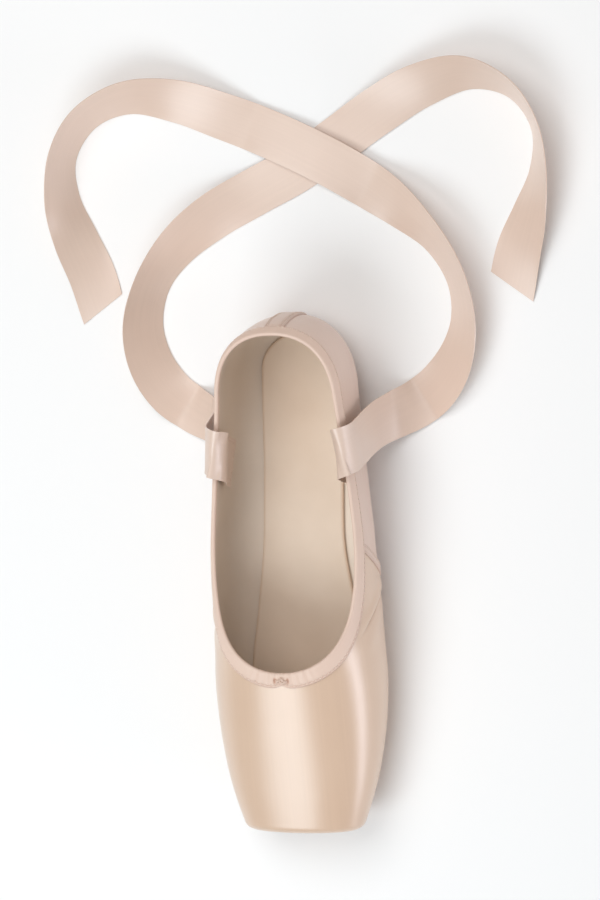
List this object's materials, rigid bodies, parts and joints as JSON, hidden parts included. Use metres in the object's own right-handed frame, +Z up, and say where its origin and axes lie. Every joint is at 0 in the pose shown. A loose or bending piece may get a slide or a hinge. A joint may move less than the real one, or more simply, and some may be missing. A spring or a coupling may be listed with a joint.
{
  "type": "pointe shoe",
  "caption": "Satin pointe shoe with a flat-ended toe box, bound collar with drawstring, suede outsole and sewn ribbon ties.",
  "frame": {"origin": "on the floor under the middle of the shoe, without the ribbon ties", "axes": "+X from the heel to the toe, +Y to the wearer's left, +Z up"},
  "size_m": [0.3523, 0.2374, 0.0598],
  "materials": {
    "satin": "pale pink satin",
    "sole_suede": "worn taupe suede",
    "insole_cloth": "plain cloth",
    "binding_satin": "matt satin binding",
    "seam_satin": "stitched satin strip",
    "drawstring": "thin cord",
    "ribbon_satin": "satin ribbon"
  },
  "bodies": {
    "root": {"upper": "satin", "outsole": "sole_suede", "insole": "insole_cloth", "collar_binding": "binding_satin", "wing_seam_left": "seam_satin", "wing_seam_right": "seam_satin", "back_strip": "seam_satin", "drawstring_knot": "drawstring", "ribbon_tie_left": "ribbon_satin", "ribbon_tie_right": "ribbon_satin"}
  },
  "joints": []
}
